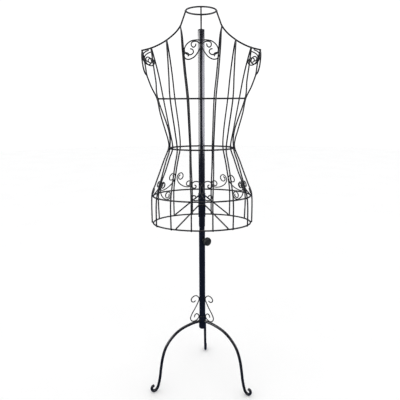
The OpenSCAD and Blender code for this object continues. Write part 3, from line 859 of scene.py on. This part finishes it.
def make_pole_welds():
    """Beads between the rods and the tubes of the pole, and round the ends of the sleeves."""
    socket_low, socket_high = heights("base_socket")
    up = (0, 0, 1)
    ring_r = TUBE_R + SLEEVE_BEAD * 0.4
    welds["strut_sleeve"] = [weld_ring((0, 0, z), up, ring_r, SLEEVE_BEAD) for z in heights("strut_sleeve")]
    welds["base_socket"] = [weld_ring((0, 0, socket_high), up, ring_r, SLEEVE_BEAD)]
    for node, path, radius in rods:
        if node.startswith("leg_"):
            root = path[0]
            out = unit(np.array([root[0], root[1], 0]))
            welds["base_socket"].append(weld_ring(root + out * 0.7, out, radius + 0.3, LEG_BEAD))
        if node.startswith("base_scroll_"):
            pole_r = np.hypot(path[:, 0], path[:, 1])
            for low, high, wall in ((socket_high, math.inf, TUBE_R), (socket_low, socket_high, SLEEVE_R)):
                inside = np.where((path[:, 2] > low) & (path[:, 2] < high), pole_r, math.inf)
                i = int(inside.argmin())
                out = unit(np.array([path[i][0], path[i][1], 0]))
                welds.setdefault(node, []).append(weld_bead(
                    out * wall + (0, 0, path[i][2]), (up, np.cross(out, up), out), SCROLL_LUMP))
    for node, y_side, bend_z in (("strut_front", -1, STRUT_FRONT[2]), ("strut_rear", 1, STRUT_REAR[2])):
        out = np.array([0, y_side, 0])
        welds.setdefault(node, []).append(weld_bead(
            np.array([0, y_side * SLEEVE_R, bend_z - 0.5]), ((1, 0, 0), up, out), STRUT_LUMP))
    for node, y_side in (("neck_stay_front", -1), ("neck_stay_back", 1)):
        foot = np.array([0, y_side * STAY_FOOT, CAP_TOP])
        welds.setdefault(node, []).append(weld_ring(foot, up, WIRE_R, SLEEVE_BEAD))
    nut_foot = (0, 0, CLAMP_Z) + CLAMP_OUT * (TUBE_R - 0.4)
    welds["clamp_nut"] = [weld_ring(nut_foot, CLAMP_OUT, NUT_BEAD_R, NUT_BEAD)]


def make_weld_pieces():
    on_stand = ("base_", "leg_", "clamp_nut")
    for node, beads in welds.items():
        body = "stand" if node.startswith(on_stand) else "torso"
        make_piece("welds_" + node, joined(beads), WELD_PAINT, body)


# ---- the object ----

make_rings()
make_uprights()
make_shoulders()
make_struts()
make_scrolls()
make_tripod()
make_welds()
make_pole_welds()
make_weld_pieces()
make_tubes()
make_knob()

for node_name, material in (("clamp_nut", TUBE_PAINT), ("clamp_screw", ZINC), ("mast_foot_plug", NYLON),
                            ("mast_head_plug", NYLON), ("stop_plug", NYLON)):
    node_mesh = frame["nodes"][node_name].data
    node_mesh.materials.clear()
    node_mesh.materials.append(material)


# ---- studio ----


def make_floor():
    """Large pale disc under the stand, with a faint unevenness in its tone."""
    material, nodes, links, shader = new_material("pale_floor")
    place = nodes.new("ShaderNodeTexCoord").outputs["Object"]
    tone = add_ramp(nodes, links, add_noise(nodes, links, place, 2.5), 0.3, 0.7,
                    ((0.955, 0.955, 0.955), (0.975, 0.975, 0.975)))
    links.new(tone, shader.inputs["Base Color"])
    shader.inputs["Roughness"].default_value = 0.9
    bm = bmesh.new()
    bmesh.ops.create_circle(bm, cap_ends=True, segments=96, radius=9.0)
    mesh = bpy.data.meshes.new("floor")
    bm.to_mesh(mesh)
    bm.free()
    mesh.materials.append(material)
    floor = bpy.data.objects.new("floor", mesh)
    bpy.context.scene.collection.objects.link(floor)
    floor.visible_glossy = False
    return floor


def make_world():
    """White surroundings. Reflections see a studio that is dark blue below and behind the camera."""
    world = bpy.data.worlds.new("studio")
    bpy.context.scene.world = world
    world.use_nodes = True
    nodes, links = world.node_tree.nodes, world.node_tree.links
    plain = nodes["Background"]
    plain.inputs["Color"].default_value = (1, 1, 1, 1)
    plain.inputs["Strength"].default_value = 1.07
    direction = nodes.new("ShaderNodeSeparateXYZ")
    links.new(nodes.new("ShaderNodeTexCoord").outputs["Generated"], direction.inputs["Vector"])
    height = add_range(nodes, links, direction.outputs["Z"], 0, 1, -0.30, 0.05)
    seen = nodes.new("ShaderNodeBackground")
    links.new(add_ramp(nodes, links, height, 0.0, 1.0, ((0.06, 0.09, 0.19), (0.20, 0.20, 0.24))),
              seen.inputs["Color"])
    seen.inputs["Strength"].default_value = 1.0
    mix = nodes.new("ShaderNodeMixShader")
    links.new(nodes.new("ShaderNodeLightPath").outputs["Is Glossy Ray"], mix.inputs["Fac"])
    links.new(plain.outputs["Background"], mix.inputs[1])
    links.new(seen.outputs["Background"], mix.inputs[2])
    links.new(mix.outputs["Shader"], nodes["World Output"].inputs["Surface"])


def light_group(name, pieces, state):
    """Collection that a light shines on only (INCLUDE) or leaves out (EXCLUDE)."""
    group = bpy.data.collections.new(name)
    for piece in pieces:
        group.objects.link(piece)
    for entry in group.collection_objects:
        entry.light_linking.link_state = state
    return group


def make_light(name, place, aim, size, power, receivers, colour=(1, 1, 1)):
    width, height = size
    data = bpy.data.lights.new(name, "AREA")
    data.color = colour
    data.shape = "RECTANGLE"
    data.size, data.size_y = width, height
    data.energy = power
    light = bpy.data.objects.new(name, data)
    light.location = place
    light.rotation_euler = (Vector(aim) - Vector(place)).to_track_quat("-Z", "Y").to_euler()
    light.light_linking.receiver_collection = receivers
    bpy.context.scene.collection.objects.link(light)


def make_lights(floor):
    """Softboxes over the form, and two long panels that only the tubes reflect."""
    tubes = [piece for piece in bpy.context.scene.objects
             if piece.name.endswith("_shell") or piece.name == "torso_tube_cap_disc"]
    all_but_tubes = light_group("lit_by_softboxes", [floor] + tubes, "EXCLUDE")
    tubes_only = light_group("lit_by_panels", tubes, "INCLUDE")
    chest = (0, 0, CHEST_Z * MM)
    make_light("left_softbox", (-2.0, -1.0, 1.45), chest, (1.6, 1.5), 45, all_but_tubes)
    make_light("right_softbox", (2.1, -0.5, 1.35), chest, (1.4, 1.4), 25, all_but_tubes)
    make_light("top_softbox", (0, 0.2, 3.4), (0, 0, 0), (2.4, 2.4), 30, all_but_tubes)
    make_light("left_panel", (-1.2, -0.1, 1.12), (0, -0.1, 1.12), (2.1, 0.76), 32, tubes_only)
    make_light("right_panel", (1.2, -0.9, 1.07), (0, -0.9, 1.07), (3.8, 0.66), 48, tubes_only,
               (0.92, 0.92, 1.0))


def make_camera():
    data = bpy.data.cameras.new("camera")
    data.sensor_width = SENSOR
    data.lens = LENS
    camera = bpy.data.objects.new("camera", data)
    look = Matrix.Rotation(math.radians(90 - PITCH), 3, "X") @ Matrix.Rotation(math.radians(ROLL), 3, "Z")
    camera.location = CAMERA_PLACE
    camera.rotation_euler = look.to_euler()
    bpy.context.scene.collection.objects.link(camera)
    bpy.context.scene.camera = camera


make_lights(make_floor())
make_world()
make_camera()
bpy.context.scene.view_settings.view_transform = "Standard"
bpy.context.scene.view_settings.gamma = 0.92
